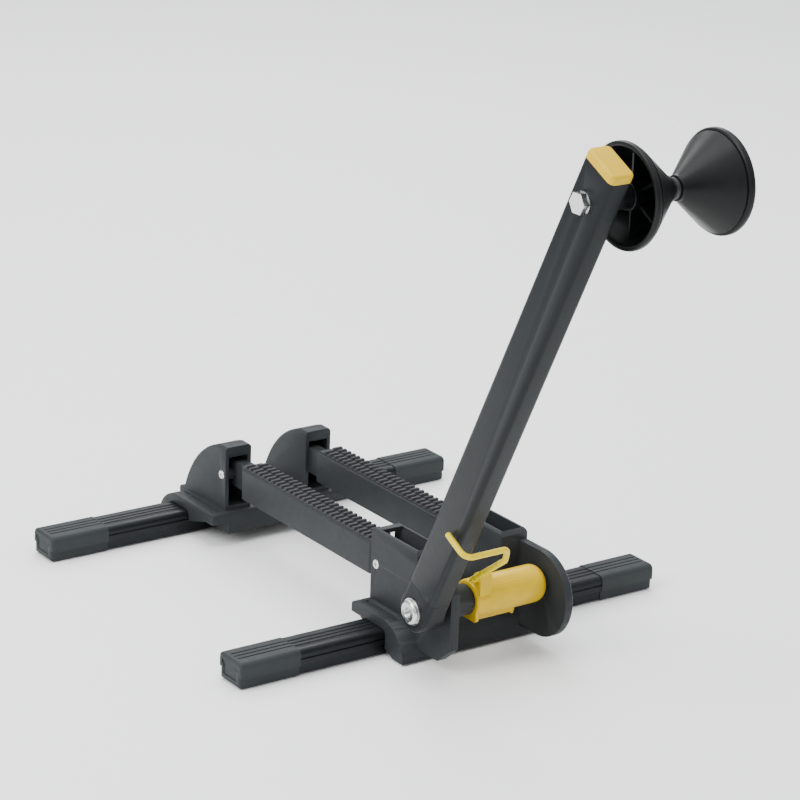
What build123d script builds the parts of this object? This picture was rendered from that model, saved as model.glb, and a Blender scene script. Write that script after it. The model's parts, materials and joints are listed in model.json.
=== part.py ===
from build123d import *
from math import cos, radians, sin
import os

# Bicycle floor stand for the rear wheel. Millimetres, +Z up, +Y towards the front of
# the bicycle. The origin is on the floor under the middle of the stand's outline.

# ---- feet -------------------------------------------------------------------
bar_span = 357.0            # overall length of each cross foot, end caps included
cap_length = 48.0           # moulded end cap on each end of a foot
bar_width = 28.0            # width of the upper part of a foot
bar_waist = 24.0            # width of the lower part of a foot
bar_bottom = 1.5            # foot bars hang this far above the floor
bar_top = 19.5
bar_step = 9.0              # height of the step between the waist and the upper part
rear_bar_y = -22.0
front_bar_y = 243.0
pad_size = (20.0, 18.0)     # floor pad under each end cap
pad_recess = 1.5
bolt_tip = 23.8             # top of the bolts that hold a foot in its saddle
bolt_x = 37.0               # foot bolts, either side of the middle
bolt_r = 2.5
bolt_head_r = 5.0

# ---- rails and the slot for the wheel ---------------------------------------
slot_half = 24.5            # half the clear width between the rails
rail_width = 20.0
rail_bottom = 42.5
rail_top = 66.0             # moulded rail, without its tread
tread_top = 69.5
rail_wall = 2.4
rail_rear = 6.0
rail_front = 183.0
tongue_width = 10.0
tongue_length = 34.0
tread_pitch = 12.0
tread_rows = 14
pocket = (5.5, 7.5, 2.2)    # tread pocket: across, along, deep
rail_corner = 5.0           # rounding of the rail's upright edges at its ends

# ---- end housings ------------------------------------------------------------
cheek_x = 47.0              # outer face of the housings
cheek_wall = 3.0
saddle_x = 61.0             # outer end of the saddle over each foot
saddle_top = 27.0
skirt_bottom = 10.0         # underside of a housing away from its rolled edge
front_saddle = (194.0, 273.6)
rear_saddle = (-58.0, 6.0)
front_cheek = (199.0, 257.0)
rear_cheek = (-52.0, 4.0)
front_cheek_top = 77.0
rear_cheek_top = 80.0
lobe_y, lobe_z, lobe_r = -76.5, 41.0, 31.5   # round rear wall on the right
lobe_inner = 40.0
left_lobe_rear = -93.0
boss_r = 11.0
boss_end = -24.5

# ---- arm ---------------------------------------------------------------------
arm_lean = 26.4             # degrees back from upright
arm_reach = 363.5           # pivot to roller axle
arm_end = 388.5             # pivot to the top of the tube
arm_x = (-68.5, -51.0)
arm_depth = 30.0
arm_wall = 1.8
arm_corner = 4.0
knuckle_r = arm_depth / 2
pivot_y, pivot_z = -78.0, 50.5
pivot_r = 5.0
knuckle_length = 60.0           # spigot inside the tube
cap_height = 6.0

# ---- rollers -----------------------------------------------------------------
roller_r = 34.0
roller_face = 39.0          # big end of each cone, from the middle
roller_neck = 8.5
axle_r = 4.0
bush_wall = 2.4
running = 0.06              # radial clearance of a running fit

# ---- pedal and wire bail -----------------------------------------------------
pedal_r = 13.5
pedal_x = (-23.0, 39.0)
bail_wire = 2.1             # radius of the wire
bail_y, bail_z = -87.0, 68.0
lug_r = 4.4
lug_width = 11.0
spring_r = 8.0              # middle of the pedal spring's wire
spring_leg_r = 0.8
bail_back = -139.5          # cross run of the bail behind the arm
bail_up = 111.0
bail_knee = (-36.0, -136.0, 101.5)           # where the bail turns down to the pedal
bail_tip_run = 23.5         # side run beside the arm, square to it
heel_drop = 1.0             # the heel stands this far below the drum
flange_thick = 2.5

# ---- derived -----------------------------------------------------------------
roller_y = pivot_y - arm_reach * sin(radians(arm_lean))
roller_z = pivot_z + arm_reach * cos(radians(arm_lean))
rail_mid = slot_half + rail_width / 2
arm_mid = (arm_x[0] + arm_x[1]) / 2
arm_width = arm_x[1] - arm_x[0]
screw_z = 54.0
screw_rows = (rear_cheek[1] - 6.0, front_cheek[0] + 6.0)


# ---- helpers -----------------------------------------------------------------
def block(x0, x1, y0, y1, z0, z1):
    """A box between two corners."""
    return Pos((x0 + x1) / 2, (y0 + y1) / 2, (z0 + z1) / 2) * Box(x1 - x0, y1 - y0, z1 - z0)


def rod(x0, x1, y, z, radius):
    """A round bar along X."""
    return Pos((x0 + x1) / 2, y, z) * Rot(0, 90, 0) * Cylinder(radius, x1 - x0)


def hexagon(x0, x1, y, z, across_flats):
    """A hexagonal head or nut along X."""
    face = Plane(origin=(x0, y, z), x_dir=(0, 1, 0), z_dir=(1, 0, 0)) * RegularPolygon(
        across_flats / 2, 6, major_radius=False)
    return extrude(face, x1 - x0)


def plate(points, x0, x1):
    """A flat piece with an outline in Y and Z, between two X values."""
    face = Plane.YZ.offset(x0) * make_face(Polyline(*points, close=True))
    return extrude(face, x1 - x0)


def turned(points, y, z):
    """A piece turned about an X axis, from its outline in X and radius."""
    outline = Pos(0, y, z) * make_face(Polyline(*points, close=True))
    return revolve(outline, Axis((0, y, z), (1, 0, 0)))


def other_side(piece):
    """The same piece mirrored to the other side of the stand."""
    return mirror(piece, Plane.YZ)


def on_arm(piece):
    """Places a piece drawn upright on the pivot into the leaning arm."""
    return Pos(0, pivot_y, pivot_z) * Rot(arm_lean, 0, 0) * piece


# ---- feet --------------------------------------------------------------------
def bar_outline(y, grow=0.0):
    """Foot section: wide upper part on a narrower waist, top corners rounded."""
    half, waist = bar_width / 2 + grow, bar_waist / 2 + grow
    top, round_r = bar_top + grow, 4.0
    low, step = bar_bottom - grow, bar_step - grow
    line = (Line((y - waist, low), (y + waist, low))
            + Line((y + waist, low), (y + waist, step))
            + Line((y + waist, step), (y + half, step))
            + Line((y + half, step), (y + half, top - round_r))
            + RadiusArc((y + half, top - round_r), (y + half - round_r, top), -round_r)
            + Line((y + half - round_r, top), (y - half + round_r, top))
            + RadiusArc((y - half + round_r, top), (y - half, top - round_r), -round_r)
            + Line((y - half, top - round_r), (y - half, step))
            + Line((y - half, step), (y - waist, step))
            + Line((y - waist, step), (y - waist, low)))
    return make_face(line)


def foot_bar(y):
    """Extruded foot with a shallow groove along both sides."""
    reach = bar_span / 2 - cap_length
    bar = extrude(Plane.YZ.offset(-reach) * bar_outline(y), 2 * reach)
    for side in (-1, 1):
        edge = y + side * bar_width / 2
        bar -= block(-reach, reach, edge - 0.8, edge + 0.8, 12.5, 13.7)
    for x in (-bolt_x, bolt_x):
        bar -= Pos(x, y, bar_top / 2) * Cylinder(bolt_r, 2 * bar_top)
        bar -= Pos(x, y, bar_bottom + 2.0) * Cylinder(bolt_head_r, 4.0)
    return bar


def end_cap(y):
    """Moulded cap on the left end of a foot, with a pocket for its floor pad."""
    end, seam = -bar_span / 2, -bar_span / 2 + cap_length
    cap = extrude(Plane.YZ.offset(end) * bar_outline(y, 0.5), cap_length)
    cap = chamfer(cap.faces().sort_by(Axis.X)[0].edges(), 2.0)
    px, py = pad_size
    mid = (end + seam) / 2
    cap += block(mid - px / 2 - 2, mid + px / 2 + 2, y - py / 2 - 1.5, y + py / 2 + 1.5, 1.0, 3.0)
    cap -= block(mid - px / 2, mid + px / 2, y - py / 2, y + py / 2, 0.0, 1.0 + pad_recess)
    return cap


def floor_pad(y):
    """Rubber pad pressed into the left end cap."""
    mid = -bar_span / 2 + cap_length / 2
    px, py = pad_size
    pad = block(mid - px / 2, mid + px / 2, y - py / 2, y + py / 2, 0.0, 1.0 + pad_recess)
    return chamfer(pad.faces().sort_by(Axis.Z)[0].edges(), 0.5)


def foot_bolts():
    """Bolts that come up through each foot into its saddle."""
    bolts = []
    for y in (rear_bar_y, front_bar_y):
        for x in (-bolt_x, bolt_x):
            head = Pos(x, y, bar_bottom + 2.2) * Cylinder(bolt_head_r, 3.6)
            head -= Pos(x, y, bar_bottom + 1.0) * extrude(RegularPolygon(2.5, 6), 2.2, both=True)
            shank = Pos(x, y, (bar_bottom + 4.0 + bolt_tip) / 2)
            shank *= Cylinder(bolt_r, bolt_tip - bar_bottom - 4.0)
            bolts.append(head + shank)
    return Compound(children=bolts)


# ---- rails -------------------------------------------------------------------
def rail():
    """Right rail: a channel open below, with a narrow tongue at each end."""
    x0, x1 = slot_half, slot_half + rail_width
    body = block(x0, x1, rail_rear, rail_front, rail_bottom, rail_top)
    body = fillet(body.edges().filter_by(Axis.Z).group_by(Axis.X)[-1], rail_corner)
    body = fillet(body.edges().filter_by(Axis.Y).group_by(Axis.Z)[-1], 1.2)
    t0 = slot_half + cheek_wall
    for y0, y1 in ((rail_rear - tongue_length, rail_rear), (rail_front, rail_front + tongue_length)):
        body += block(t0, t0 + tongue_width, y0, y1, rail_bottom + 2, rail_top - 2)
    body -= block(x0 + rail_wall, x1 - rail_wall, rail_rear + rail_wall, rail_front - rail_wall,
                  rail_bottom - 1, rail_top - 5.0)
    body -= block(x0 + 1.5, x1 - 1.5, rail_rear + 1.5, rail_front - 1.5, rail_top - 1.5, rail_top + 1)
    for y in screw_rows:
        body -= rod(t0 + 1.0, cheek_x, y, screw_z, 2.0)
    return body


def tread():
    """Right rubber tread: a strip with two rows of open pockets between its ribs."""
    x0, x1 = slot_half + 1.5, slot_half + rail_width - 1.5
    strip = block(x0, x1, rail_rear + 1.5, rail_front - 1.5, rail_top - 1.5, tread_top)
    strip = chamfer(strip.edges().filter_by(Axis.Y).group_by(Axis.Z)[-1], 0.8)
    first = (rail_rear + rail_front) / 2 - tread_pitch * (tread_rows - 1) / 2
    across, along, deep = pocket
    holes = []
    for row in range(tread_rows):
        for x in (rail_mid - 3.9, rail_mid + 3.9):
            y = first + row * tread_pitch + (tread_pitch / 4 if x > rail_mid else -tread_pitch / 4)
            holes.append(block(x - across / 2, x + across / 2, y - along / 2, y + along / 2,
                               tread_top - deep, tread_top + 1))
    return strip - holes


# ---- housings ----------------------------------------------------------------
def saddle(y0, y1, bar_y, low_edge):
    """Saddle over a foot; its long edge rolls down to the floor at low_edge."""
    top, floor_gap = saddle_top, 1.5
    flat = y1 if low_edge == y0 else y0
    away = 1 if low_edge == y0 else -1
    knee = low_edge + away * 26.0
    outline = (Line((flat, 19.0), (flat, top))
               + Line((flat, top), (knee, top))
               + ThreePointArc((knee, top), (low_edge + away * 6.5, 17.5), (low_edge, floor_gap))
               + Line((low_edge, floor_gap), (low_edge + away * 12.0, floor_gap))
               + Line((low_edge + away * 12.0, floor_gap), (flat - away * 10.0, 19.0))
               + Line((flat - away * 10.0, 19.0), (flat, 19.0)))
    body = extrude(Plane.YZ.offset(-saddle_x) * make_face(outline), 2 * saddle_x)
    ends = sorted((low_edge + away * 8, flat))
    core = block(-cheek_x, cheek_x, ends[0], ends[1], skirt_bottom, top)
    body = fillet((body + core).edges().filter_by(Axis.X).group_by(Axis.Z)[-1], 2.5)
    return body - foot_tunnel(bar_y)


def foot_tunnel(bar_y):
    """Space that a foot fills under its saddle, open below."""
    tunnel = extrude(Plane.YZ.offset(-saddle_x - 1) * bar_outline(bar_y), 2 * saddle_x + 2)
    half = bar_width / 2
    tunnel += block(-saddle_x - 1, saddle_x + 1, bar_y - half, bar_y + half, 0.0, bar_step + 0.5)
    for x in (-bolt_x, bolt_x):
        tunnel += Pos(x, bar_y, 22.0) * Cylinder(bolt_r, 6.0)
    return tunnel


def lip_grooves(y0, y1):
    """Shallow grooves along the lips beside the cheeks."""
    cuts = []
    for side in (-1, 1):
        x = side * (cheek_x + 5.0)
        cuts.append(block(x - 0.9, x + 0.9, y0 + 6, y1 - 6, saddle_top - 1.0, saddle_top + 1.0))
    return cuts


def front_block():
    """Front housing: saddle and two fin-shaped cheeks that take the rail tongues."""
    y0, y1 = front_saddle
    body = saddle(y0, y1, front_bar_y, y1)
    rear, nose = front_cheek
    top = front_cheek_top
    fin = (Line((rear, saddle_top - 3), (rear, top))
           + Line((rear, top), (rear + 10, top))
           + ThreePointArc((rear + 10, top), (rear + 41, 60.0), (nose + 4, saddle_top - 3))
           + Line((nose + 4, saddle_top - 3), (rear, saddle_top - 3)))
    for x0, x1 in ((slot_half, cheek_x), (-cheek_x, -slot_half)):
        cheek = extrude(Plane.YZ.offset(x0) * make_face(fin), x1 - x0)
        body += chamfer(cheek.edges().filter_by(lambda e: abs(e.center().Z) > 40
                        and e.center().Y > rear + 1).filter_by(
                        lambda e: abs(e.tangent_at(0.5).X) < 0.5), 1.8)
    body -= [hood_space(side, rear - 1, rear + 24, saddle_top, top - 5) for side in (-1, 1)]
    body += [screw_post(side, screw_rows[1]) for side in (-1, 1)]
    body -= [screw_hole(side, screw_rows[1]) for side in (-1, 1)]
    return body - lip_grooves(y0, y1)


def hood_space(side, y0, y1, z0, top):
    """Hollow inside a cheek, open towards the rail."""
    x0, x1 = slot_half + cheek_wall, cheek_x - cheek_wall
    xs = sorted((side * x0, side * x1))
    return block(xs[0], xs[1], y0, y1, z0 + cheek_wall, top - cheek_wall)


def top_window(side, y0, y1, top):
    """Opening in the top of a rear cheek."""
    xs = sorted((side * (slot_half + cheek_wall), side * (cheek_x - cheek_wall)))
    return block(xs[0], xs[1], y0, y1, top - 8, top + 1)


def screw_post(side, y):
    """Post inside a cheek that reaches the rail tongue."""
    inner = slot_half + cheek_wall + tongue_width
    xs = sorted((side * inner, side * (cheek_x - 1)))
    return rod(xs[0], xs[1], y, screw_z, 4.5)


def screw_hole(side, y):
    """Hole for a rail screw, with a seat for its head."""
    xs = sorted((side * (slot_half + cheek_wall + 1.0), side * (cheek_x + 1)))
    head = sorted((side * (cheek_x - 1.2), side * (cheek_x + 1)))
    return rod(xs[0], xs[1], y, screw_z, 2.0) + rod(head[0], head[1], y, screw_z, 3.6)


def right_wall():
    """Round right wall of the rear housing, open towards the pedal."""
    disc = rod(lobe_inner, cheek_x, lobe_y, lobe_z, lobe_r)
    web = block(lobe_inner, cheek_x, lobe_y, rear_cheek[0] + 6, lobe_z - lobe_r, lobe_z + lobe_r)
    wall = disc + web
    return chamfer(wall.edges().filter_by(lambda e: abs(e.center().X - cheek_x) < 0.1
                   and e.center().Y < rear_cheek[0] - 2), 1.2)


def left_wall():
    """Narrow left wall beside the arm, with the boss that spaces the pedal."""
    low, high = lobe_z - lobe_r, lobe_z + lobe_r
    front = rear_cheek[0] + 6
    outline = [(front, low), (left_lobe_rear + 14, low), (left_lobe_rear, low + 12),
               (left_lobe_rear, high - 10), (left_lobe_rear + 10, high), (front, high)]
    wall = plate(outline, -cheek_x, -lobe_inner)
    return wall + rod(-lobe_inner, boss_end, pivot_y, pivot_z, boss_r)


def rear_block():
    """Rear housing: saddle, two cheeks and the walls that carry the main pivot."""
    y0, y1 = rear_saddle
    body = saddle(y0, y1, rear_bar_y, y0)
    rear, front = rear_cheek
    top = rear_cheek_top
    for x0, x1 in ((slot_half, cheek_x), (-cheek_x, -slot_half)):
        cheek = block(x0, x1, rear, front, saddle_top - 3, top)
        cheek = chamfer(cheek.edges().filter_by(Axis.X).group_by(Axis.Z)[-1], 3.0)
        body += chamfer(cheek.edges().filter_by(Axis.Y).group_by(Axis.Z)[-1], 1.5)
    body -= [hood_space(side, rear + cheek_wall, front + 1, saddle_top, top) for side in (-1, 1)]
    body -= [top_window(side, rear + cheek_wall, front - 9, top) for side in (-1, 1)]
    body += [screw_post(side, screw_rows[0]) for side in (-1, 1)]
    body -= [screw_hole(side, screw_rows[0]) for side in (-1, 1)]
    body += right_wall() + left_wall()
    body -= rod(-cheek_x - 1, cheek_x + 1, pivot_y, pivot_z, pivot_r)
    body -= rod(boss_end - 4.0, boss_end + 1, pivot_y + spring_r, pivot_z, spring_leg_r)
    return body - lip_grooves(y0, y1)


def rail_screws():
    """Small pan-head screws through the cheeks into the rails."""
    screws = []
    for side in (-1, 1):
        for y in screw_rows:
            tip = side * (slot_half + cheek_wall + 1.0)
            seat, face = side * (cheek_x - 1.2), side * (cheek_x + 0.3)
            shank = rod(min(tip, seat), max(tip, seat), y, screw_z, 2.0)
            head = rod(min(seat, face), max(seat, face), y, screw_z, 3.6)
            slot = rod(min(face, face - side * 1.4), max(face, face - side * 1.4), y, screw_z, 1.3)
            screws.append(shank + head - slot)
    return Compound(children=screws)


# ---- main pivot --------------------------------------------------------------
def pivot_bolt():
    """Main bolt: round socket head outside the arm, shank through both walls."""
    seat, face = arm_x[0] - 1.1, arm_x[0] - 4.4
    head = rod(face, seat, pivot_y, pivot_z, 8.6)
    head = fillet(head.edges().filter_by(GeomType.CIRCLE).sort_by(Axis.X)[0], 2.6)
    head -= hexagon(face - 0.1, face + 2.4, pivot_y, pivot_z, 6.0)
    return head + rod(seat, cheek_x + 11.0, pivot_y, pivot_z, pivot_r)


def pivot_washer():
    """Washer under the head of the main bolt."""
    ring = rod(arm_x[0] - 1.1, arm_x[0] - 0.1, pivot_y, pivot_z, 9.6)
    return ring - rod(arm_x[0] - 2, arm_x[0], pivot_y, pivot_z, pivot_r)


def arm_spacer():
    """Thin washer between the arm and the left wall."""
    ring = rod(arm_x[1] + 0.1, -cheek_x, pivot_y, pivot_z, 10.0)
    return ring - rod(arm_x[1], -cheek_x + 1, pivot_y, pivot_z, pivot_r)


def pivot_nut():
    """Lock nut on the right end of the main bolt."""
    nut = hexagon(cheek_x, cheek_x + 8.0, pivot_y, pivot_z, 16.0)
    nut += rod(cheek_x + 8.0, cheek_x + 9.5, pivot_y, pivot_z, 7.0)
    return nut - rod(cheek_x - 1, cheek_x + 12, pivot_y, pivot_z, pivot_r)


def pedal_spring():
    """Torsion spring round the bolt, one leg in the boss of the left wall."""
    wire, turns, pitch = 0.9, 4, 2.6
    start = boss_end + 2.0
    path = Helix(pitch, pitch * turns, spring_r)
    coil = sweep(Plane(path @ 0, z_dir=path % 0) * Circle(wire), path=path)
    coil = Pos(start, pivot_y, pivot_z) * Rot(0, 90, 0) * Rot(0, 0, 90) * coil
    leg = rod(boss_end - 4.0, start + 0.5, pivot_y + spring_r, pivot_z, spring_leg_r)
    return coil + leg


# ---- arm ---------------------------------------------------------------------
def tube_section(width, depth, corner):
    """Rounded rectangle of the arm, centred on its axis."""
    return Pos(arm_mid, 0) * RectangleRounded(width, depth, corner)


def arm_tube():
    """Oval-cornered tube from the knuckle to the roller head."""
    outer = tube_section(arm_width, arm_depth, arm_corner)
    inner = tube_section(arm_width - 2 * arm_wall, arm_depth - 2 * arm_wall, arm_corner - arm_wall)
    foot = knuckle_r + 3.0
    tube = Pos(0, 0, foot) * extrude(outer - inner, arm_end - foot)
    tube -= Pos(0, 0, arm_reach) * rod(arm_x[0] - 1, arm_x[1] + 1, 0, 0, axle_r)
    return on_arm(tube)


def arm_knuckle():
    """Moulded knuckle on the main bolt, with a spigot inside the tube."""
    eye = rod(arm_x[0], arm_x[1], 0, 0, knuckle_r)
    half = arm_depth / 2
    neck = block(arm_x[0], arm_x[1], -half, half, 0, knuckle_r + 3.0)
    neck = fillet(neck.edges().filter_by(Axis.Z), arm_corner)
    inner = tube_section(arm_width - 2 * arm_wall, arm_depth - 2 * arm_wall, arm_corner - arm_wall)
    spigot = Pos(0, 0, knuckle_r) * extrude(inner, knuckle_length)
    eye = chamfer(eye.edges().filter_by(GeomType.CIRCLE), 1.0)
    body = eye + neck + spigot
    return on_arm(body - rod(arm_x[0] - 1, arm_x[1] + 1, 0, 0, pivot_r + bush_wall))


def arm_bush():
    """Nylon sleeve in the knuckle that turns on the main bolt."""
    sleeve = rod(arm_x[0], arm_x[1], 0, 0, pivot_r + bush_wall)
    return on_arm(sleeve - rod(arm_x[0] - 1, arm_x[1] + 1, 0, 0, pivot_r + running))


def arm_top_cap():
    """Domed plug that closes the top of the tube."""
    inner = tube_section(arm_width - 2 * arm_wall, arm_depth - 2 * arm_wall, arm_corner - arm_wall)
    rim = Pos(0, 0, arm_end) * extrude(tube_section(arm_width, arm_depth, arm_corner), cap_height)
    rim = fillet(rim.faces().sort_by(Axis.Z)[-1].edges(), 2.2)
    return on_arm(rim + Pos(0, 0, arm_end - 9.0) * extrude(inner, 9.0))


# ---- rollers -----------------------------------------------------------------
def roller():
    """Right cone, hollow at its big end, with a hub for its bush."""
    slope = (roller_r - 1.6 - roller_neck) / 29.0
    hub, bore = 9.5, axle_r + bush_wall
    wall = 3.8
    groove = 33.0
    points = [(2.0, bore), (2.0, roller_neck - 1.0), (3.0, roller_neck), (4.0, roller_neck),
              (groove, roller_neck + slope * 29.0), (groove + 0.2, roller_r - 2.4),
              (groove + 1.2, roller_r - 2.4), (groove + 1.4, roller_r - 0.8),
              (groove + 2.4, roller_r), (roller_face - 1.0, roller_r), (roller_face, roller_r - 1.0),
              (roller_face, roller_r - 2.8), (groove + 2.0, roller_r - 3.4),
              (14.0, roller_neck + slope * 10.0 - wall + 0.6), (14.0, hub), (36.0, hub), (36.0, bore)]
    return turned(points, roller_y, roller_z)


def roller_bush():
    """Right nylon sleeve pressed into the cone."""
    sleeve = rod(2.0, 36.0, roller_y, roller_z, axle_r + bush_wall)
    return sleeve - rod(1.0, 37.0, roller_y, roller_z, axle_r + running)


def ring_on_axle(x0, x1, radius):
    """A washer or spacer on the roller axle."""
    return rod(x0, x1, roller_y, roller_z, radius) - rod(x0 - 1, x1 + 1, roller_y, roller_z, axle_r)


def roller_axle():
    """Long bolt: hexagon head outside the arm, shank through both cones."""
    head = hexagon(arm_x[0] - 5.5, arm_x[0], roller_y, roller_z, 13.0)
    head = head & rod(arm_x[0] - 5.6, arm_x[0] + 0.1, roller_y, roller_z, 7.3)
    return head + rod(arm_x[0], 46.0, roller_y, roller_z, axle_r)


def axle_nut():
    """Lock nut inside the right cone."""
    nut = hexagon(37.7, 43.7, roller_y, roller_z, 13.0)
    return nut - rod(37.0, 45.0, roller_y, roller_z, axle_r)


# ---- pedal and bail ----------------------------------------------------------
def pedal():
    """Drum on the main bolt with a heel below and a lug for the wire bail."""
    x0, x1 = pedal_x
    drum = rod(x0, x1, pivot_y, pivot_z, pedal_r)
    drum = fillet(drum.edges().filter_by(GeomType.CIRCLE).sort_by(Axis.X)[-1], 8.0)
    drum = chamfer(drum.edges().filter_by(GeomType.CIRCLE).sort_by(Axis.X)[0], 1.2)
    low = pivot_z - pedal_r - heel_drop
    heel = block(x0 + 1.2, 12.0, pivot_y - 8.0, pivot_y + 8.0, low, pivot_z - 6.0)
    heel = fillet(heel.edges().filter_by(Axis.X).group_by(Axis.Z)[0], 2.0)
    heel += block(10.4, 12.0, pivot_y - 7.0, pivot_y + 7.0, low - 1.0, pivot_z - 6.0)
    flange = block(x0, x0 + flange_thick, pivot_y - 11.0, pivot_y + 9.0, low, pivot_z)
    flange = fillet(flange.edges().filter_by(Axis.X).group_by(Axis.Z)[0], 2.0)
    lug = rod(x0 + 1.2, x0 + lug_width, bail_y, bail_z, lug_r)
    lug += block(x0 + 1.2, x0 + lug_width, bail_y - lug_r, bail_y + lug_r, bail_z - 12.0, bail_z)
    body = drum + heel + flange + lug
    body -= rod(x0 - 1, x1 + 1, pivot_y, pivot_z, pivot_r + running)
    body -= rod(x0 - 1, x0 + 15.0, pivot_y, pivot_z, 9.6)
    return body - rod(x0 - 1, x0 + lug_width + 1, bail_y, bail_z, bail_wire + running)


def wire_bail():
    """Bent wire that swings up behind the arm: pin, stem, knee, cross run and side run."""
    side = arm_x[0] - bail_wire - 0.8
    lean = radians(arm_lean)
    pin_end = (pedal_x[0] + lug_width + 1.0, bail_y, bail_z)
    elbow = (pedal_x[0] - 4.0, bail_y, bail_z)
    rear_right = (bail_knee[0] - 1.0, bail_back, bail_up)
    rear_left = (side, bail_back, bail_up)
    tip = (side, bail_back + bail_tip_run * cos(lean), bail_up + bail_tip_run * sin(lean))
    path = FilletPolyline(pin_end, elbow, bail_knee, rear_right, rear_left, tip,
                          radius=[3.5, 4.0, 4.0, 6.5])
    return sweep(Plane(path @ 0, z_dir=path % 0) * Circle(bail_wire), path=path)


# ---- nodes -------------------------------------------------------------------
nodes = {
    "rear_foot_bar": foot_bar(rear_bar_y),
    "front_foot_bar": foot_bar(front_bar_y),
    "foot_bolts": foot_bolts(),
    "left_rail": other_side(rail()),
    "right_rail": rail(),
    "left_rail_tread": other_side(tread()),
    "right_rail_tread": tread(),
    "front_block": front_block(),
    "rear_block": rear_block(),
    "rail_screws": rail_screws(),
    "pivot_bolt": pivot_bolt(),
    "pivot_washer": pivot_washer(),
    "arm_spacer": arm_spacer(),
    "pivot_nut": pivot_nut(),
    "pedal_spring": pedal_spring(),
    "arm_tube": arm_tube(),
    "arm_knuckle": arm_knuckle(),
    "arm_bush": arm_bush(),
    "arm_top_cap": arm_top_cap(),
    "roller_axle": roller_axle(),
    "axle_nut": axle_nut(),
    "axle_washer": ring_on_axle(36.3, 37.7, 8.0),
    "axle_spacer": ring_on_axle(arm_x[1], -36.3, 8.0),
    "centre_washer": ring_on_axle(-1.7, 1.7, 7.0),
    "left_roller": other_side(roller()),
    "right_roller": roller(),
    "left_roller_bush": other_side(roller_bush()),
    "right_roller_bush": roller_bush(),
    "pedal": pedal(),
    "wire_bail": wire_bail(),
}
for name, y in (("rear", rear_bar_y), ("front", front_bar_y)):
    nodes[name + "_left_end_cap"] = end_cap(y)
    nodes[name + "_right_end_cap"] = other_side(end_cap(y))
    nodes[name + "_left_floor_pad"] = floor_pad(y)
    nodes[name + "_right_floor_pad"] = other_side(floor_pad(y))

os.makedirs("parts", exist_ok=True)
for name, piece in nodes.items():
    export_step(piece, "parts/" + name + ".step")
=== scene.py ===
import json
import math

import bmesh
import bpy
from mathutils import Matrix, Vector


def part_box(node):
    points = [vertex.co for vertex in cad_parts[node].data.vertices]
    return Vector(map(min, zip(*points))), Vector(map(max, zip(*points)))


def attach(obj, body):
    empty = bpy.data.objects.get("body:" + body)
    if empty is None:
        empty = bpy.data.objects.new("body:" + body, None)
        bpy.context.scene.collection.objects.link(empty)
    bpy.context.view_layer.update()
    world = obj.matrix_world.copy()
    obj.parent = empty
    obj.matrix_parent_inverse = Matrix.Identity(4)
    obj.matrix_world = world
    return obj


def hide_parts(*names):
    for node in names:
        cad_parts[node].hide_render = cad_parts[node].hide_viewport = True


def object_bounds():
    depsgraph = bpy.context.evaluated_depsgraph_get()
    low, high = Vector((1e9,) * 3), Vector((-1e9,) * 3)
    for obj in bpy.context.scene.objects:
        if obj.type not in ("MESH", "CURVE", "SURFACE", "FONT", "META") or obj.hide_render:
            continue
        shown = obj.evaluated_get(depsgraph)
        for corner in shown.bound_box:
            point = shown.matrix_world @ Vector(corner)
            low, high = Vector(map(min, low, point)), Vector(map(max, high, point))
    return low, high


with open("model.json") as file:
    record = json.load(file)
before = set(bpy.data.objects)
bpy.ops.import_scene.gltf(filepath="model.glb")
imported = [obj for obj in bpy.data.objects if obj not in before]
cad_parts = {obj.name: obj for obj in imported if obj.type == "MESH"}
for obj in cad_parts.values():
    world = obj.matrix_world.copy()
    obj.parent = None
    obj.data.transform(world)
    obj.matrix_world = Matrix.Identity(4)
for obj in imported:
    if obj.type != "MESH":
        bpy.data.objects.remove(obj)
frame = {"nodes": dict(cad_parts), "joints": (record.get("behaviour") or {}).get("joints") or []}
cad_low, cad_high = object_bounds()

bl_info = {
    "name": "Bicycle Floor Stand",
    "version": (1, 0, 0),
    "blender": (4, 5, 0),
    "location": "View3D > Sidebar > Floor Stand",
    "description": "Models the visible pieces of a folding bicycle floor stand around its CAD frame",
    "category": "Add Mesh",
}

MM = 0.001


# ---- sizes read from the frame ------------------------------------------------
def box_mm(node):
    """Lowest and highest corner of a CAD node, in millimetres."""
    low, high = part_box(node)
    return low / MM, high / MM


def middle(node):
    """Middle of a CAD node, in millimetres."""
    low, high = box_mm(node)
    return (low + high) / 2


def joint(name):
    """Place of a joint, in millimetres."""
    for one in frame["joints"]:
        if one["name"] == name:
            return Vector(one["pos_m"]) / MM
    raise KeyError(name)


PIVOT = joint("arm_fold")
CONE_AXIS = joint("right_cone_spin")
BAIL_PIN = joint("bail_swing")
LEAN = math.atan2(PIVOT.y - CONE_AXIS.y, CONE_AXIS.z - PIVOT.z)
ARM_REACH = math.hypot(PIVOT.y - CONE_AXIS.y, CONE_AXIS.z - PIVOT.z)
ARM_LOW, ARM_HIGH = box_mm("arm_knuckle")
ARM_X0, ARM_X1 = ARM_LOW.x, ARM_HIGH.x
ARM_HALF = PIVOT.z - ARM_LOW.z
ARM_TOP = (box_mm("arm_tube")[1].z - PIVOT.z - ARM_HALF * math.sin(LEAN)) / math.cos(LEAN)


SMOOTH = math.radians(32.0)     # edges sharper than this stay crisp
FOOT_WAIST = 12.0               # half width of a foot below its step
FOOT_STEP = 9.0                 # height of that step
FOOT_CORNER = 4.0
CAP_OVER_FOOT = 0.5             # the end caps stand this proud of the feet
TUBE_WALL = 1.8
NECK_RADIUS = 8.5               # small end of a cone
HUB_RADIUS = 9.5
NOISE_SPAN = {"From Min": 0.3, "From Max": 0.7}      # where most of a noise pattern lies


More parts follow.
